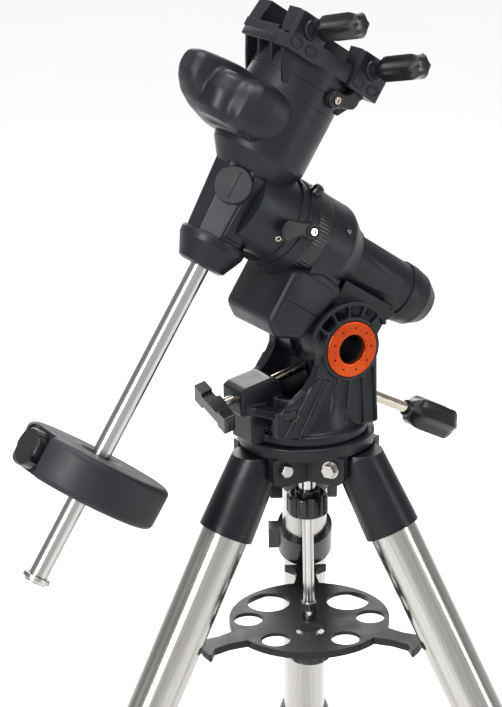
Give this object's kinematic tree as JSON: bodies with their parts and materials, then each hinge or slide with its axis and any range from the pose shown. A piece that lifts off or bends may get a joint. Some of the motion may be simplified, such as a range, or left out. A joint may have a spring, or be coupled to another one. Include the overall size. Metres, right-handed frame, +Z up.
{
  "type": "equatorial mount",
  "caption": "German equatorial telescope mount with counterweight, worm-driven axes and dovetail saddle, on a folding steel tripod with spreader tray.",
  "frame": {"origin": "centre of the whole object's footprint box, on the floor", "axes": "+Z up, -X towards the pole (north), altitude axis along Y"},
  "size_m": [0.6948, 0.7942, 1.1792],
  "materials": {
    "hub_casting": "satin black paint",
    "base_casting": "satin black paint",
    "head_casting": "satin charcoal paint",
    "cover_plastic": "fine textured",
    "leg_cap_plastic": "satin",
    "black_plastic": "semi-gloss",
    "tray_plastic": "satin",
    "leg_steel": "brushed along the tube",
    "chrome": "polished",
    "zinc": "zinc plated",
    "nickel": "nickel plated",
    "orange_anodised": "orange anodised",
    "black_anodised": "black anodised",
    "rubber": "matt",
    "brass": "machined",
    "weight_paint": "satin black paint on cast iron",
    "motor_can": "drawn steel"
  },
  "bodies": {
    "tripod": {"tripod_hub": "hub_casting", "alignment_peg": "nickel", "leg_pivot_bolts": "zinc"},
    "mounting_rod": {"centre_rod": "chrome", "mounting_knob": "black_plastic"},
    "tray": {"spreader_tray": "tray_plastic"},
    "tray_nut": {"tray_knob": "black_plastic"},
    "leg_north": {"leg_cap_north": "leg_cap_plastic", "leg_tube_north": "leg_steel", "leg_clamp_north": "black_plastic"},
    "leg_lock_north": {"clamp_knob_north": "black_plastic"},
    "lower_leg_north": {"leg_extension_north": "chrome", "leg_foot_north": "rubber"},
    "leg_front": {"leg_cap_front": "leg_cap_plastic", "leg_tube_front": "leg_steel", "leg_clamp_front": "black_plastic"},
    "leg_lock_front": {"clamp_knob_front": "black_plastic"},
    "lower_leg_front": {"leg_extension_front": "chrome", "leg_foot_front": "rubber"},
    "leg_rear": {"leg_cap_rear": "leg_cap_plastic", "leg_tube_rear": "leg_steel", "leg_clamp_rear": "black_plastic", "controller_holder": "black_plastic"},
    "leg_lock_rear": {"clamp_knob_rear": "black_plastic"},
    "lower_leg_rear": {"leg_extension_rear": "chrome", "leg_foot_rear": "rubber"},
    "azimuth": {"azimuth_base": "base_casting", "altitude_rings": "orange_anodised", "altitude_shaft": "black_anodised"},
    "azimuth_adjusters": {"azimuth_screws": "zinc"},
    "altitude": {"ra_housing": "head_casting", "ra_motor_cover": "cover_plastic", "ra_motor": "motor_can", "ra_worm": "brass", "ra_worm_wheel": "brass", "polar_cap": "cover_plastic"},
    "front_adjuster": {"front_latitude_screw": "nickel", "front_latitude_handle": "black_plastic"},
    "rear_adjuster": {"rear_latitude_screw": "nickel", "rear_latitude_knob": "black_plastic"},
    "ra_axis": {"ra_clutch_ring": "head_casting", "ra_shaft": "zinc", "dec_housing": "head_casting", "dec_motor_cover": "cover_plastic", "dec_motor": "motor_can", "dec_worm": "brass", "dec_worm_wheel": "brass", "dec_port_cap": "cover_plastic", "dec_collar": "head_casting", "counterweight_bar": "chrome", "bar_end_stop": "chrome"},
    "ra_clutch": {"ra_clutch_lever": "black_plastic"},
    "weight": {"counterweight": "weight_paint"},
    "weight_lock": {"counterweight_knob": "black_plastic"},
    "dec_axis": {"dec_shaft": "zinc", "saddle": "head_casting"},
    "dec_clutch": {"dec_clutch_lever": "black_plastic"},
    "jaws": {"saddle_jaws": "base_casting"},
    "saddle_screw_north": {"saddle_knob_north": "black_plastic"},
    "saddle_screw_south": {"saddle_knob_south": "black_plastic"}
  },
  "joints": [
    {"name": "mounting_knob_turn", "type": "hinge", "parent": "tripod", "child": "mounting_rod", "pos_m": [0.10779, 0, 0.64], "axis": [0, 0, 1], "continuous": true},
    {"name": "tray_slide", "type": "slide", "parent": "tripod", "child": "tray", "axis": [0, 0, 1], "range_m": [-0.022, 0]},
    {"name": "tray_knob_turn", "type": "hinge", "parent": "tray", "child": "tray_nut", "pos_m": [0.10779, 0, 0.46], "axis": [0, 0, 1], "continuous": true},
    {"name": "leg_fold_north", "type": "hinge", "parent": "tripod", "child": "leg_north", "pos_m": [0.05679, 0, 0.694], "axis": [0, -1, 0], "range_deg": [0, 2.5]},
    {"name": "leg_extend_north", "type": "slide", "parent": "leg_north", "child": "lower_leg_north", "axis": [-0.471, 0, -0.8821], "range_m": [0, 0.4]},
    {"name": "leg_lock_north_turn", "type": "hinge", "parent": "leg_north", "child": "leg_lock_north", "pos_m": [-0.2596, 0, 0.18721], "axis": [-0.8821, 0, 0.471], "range_deg": [0, 360]},
    {"name": "leg_fold_front", "type": "hinge", "parent": "tripod", "child": "leg_front", "pos_m": [0.13329, -0.04417, 0.694], "axis": [0.866, 0.5, 0], "range_deg": [0, 2.5]},
    {"name": "leg_extend_front", "type": "slide", "parent": "leg_front", "child": "lower_leg_front", "axis": [0.2355, -0.4079, -0.8821], "range_m": [0, 0.4]},
    {"name": "leg_lock_front_turn", "type": "hinge", "parent": "leg_front", "child": "leg_lock_front", "pos_m": [0.29148, -0.31817, 0.18721], "axis": [0.4411, -0.7639, 0.471], "range_deg": [0, 360]},
    {"name": "leg_fold_rear", "type": "hinge", "parent": "tripod", "child": "leg_rear", "pos_m": [0.13329, 0.04417, 0.694], "axis": [-0.866, 0.5, 0], "range_deg": [0, 2.5]},
    {"name": "leg_extend_rear", "type": "slide", "parent": "leg_rear", "child": "lower_leg_rear", "axis": [0.2355, 0.4079, -0.8821], "range_m": [0, 0.4]},
    {"name": "leg_lock_rear_turn", "type": "hinge", "parent": "leg_rear", "child": "leg_lock_rear", "pos_m": [0.29148, 0.31817, 0.18721], "axis": [0.4411, 0.7639, 0.471], "range_deg": [0, 360]},
    {"name": "azimuth_turn", "type": "hinge", "parent": "tripod", "child": "azimuth", "pos_m": [0.10779, 0, 0.72], "axis": [0, 0, 1], "range_deg": [-7, 7]},
    {"name": "azimuth_screws_slide", "type": "slide", "parent": "azimuth", "child": "azimuth_adjusters", "axis": [0, 1, 0], "range_m": [-0.0074, 0.0074]},
    {"name": "latitude", "type": "hinge", "parent": "azimuth", "child": "altitude", "pos_m": [0.12979, 0, 0.818], "axis": [0, 1, 0], "range_deg": [-14, 25]},
    {"name": "front_screw_slide", "type": "slide", "parent": "azimuth", "child": "front_adjuster", "axis": [0.9743, 0, 0.2251], "range_m": [-0.0101, 0.0057]},
    {"name": "rear_screw_slide", "type": "slide", "parent": "azimuth", "child": "rear_adjuster", "axis": [-0.88, 0, 0.475], "range_m": [-0.01, 0.0177]},
    {"name": "ra_turn", "type": "hinge", "parent": "altitude", "child": "ra_axis", "pos_m": [0.17452, 0, 0.88432], "axis": [-0.829, 0, 0.5592], "continuous": true},
    {"name": "ra_clutch", "type": "hinge", "parent": "ra_axis", "child": "ra_clutch", "pos_m": [0.08454, -0.05011, 0.95031], "axis": [0.0487, -0.9962, 0.0723], "range_deg": [-20, 25]},
    {"name": "weight_slide", "type": "slide", "parent": "ra_axis", "child": "weight", "axis": [0.5592, 0, 0.829], "range_m": [-0.085, 0.19]},
    {"name": "weight_knob_turn", "type": "hinge", "parent": "weight", "child": "weight_lock", "pos_m": [-0.20347, 0, 0.75812], "axis": [-0.829, 0, 0.5592], "range_deg": [0, 360]},
    {"name": "dec_turn", "type": "hinge", "parent": "ra_axis", "child": "dec_axis", "pos_m": [0.02861, 0, 0.98274], "axis": [0.5592, 0, 0.829], "continuous": true},
    {"name": "dec_clutch", "type": "hinge", "parent": "dec_axis", "child": "dec_clutch", "pos_m": [0.11419, -0.04784, 1.08182], "axis": [0.2562, -0.9511, -0.1728], "range_deg": [-30, 0]},
    {"name": "jaws_slide", "type": "slide", "parent": "dec_axis", "child": "jaws", "axis": [0, 1, 0], "range_m": [0, 0.00375]},
    {"name": "saddle_knob_north_turn", "type": "hinge", "parent": "dec_axis", "child": "saddle_screw_north", "pos_m": [0.09026, -0.044, 1.15104], "axis": [0.1353, -0.9703, 0.2006], "range_deg": [0, 1080]},
    {"name": "saddle_knob_south_turn", "type": "hinge", "parent": "dec_axis", "child": "saddle_screw_south", "pos_m": [0.16156, -0.044, 1.10295], "axis": [0.1353, -0.9703, 0.2006], "range_deg": [0, 1080]}
  ],
  "couplings": [
    {"joint": "leg_fold_front", "follows": "leg_fold_north", "ratio": 1},
    {"joint": "leg_fold_rear", "follows": "leg_fold_north", "ratio": 1},
    {"joint": "tray_slide", "follows": "leg_fold_north", "m_per_rad": -0.5042},
    {"joint": "azimuth_screws_slide", "follows": "azimuth_turn", "m_per_rad": 0.06},
    {"joint": "front_screw_slide", "follows": "latitude", "m_per_rad": -0.0228},
    {"joint": "rear_screw_slide", "follows": "latitude", "m_per_rad": 0.0403}
  ]
}
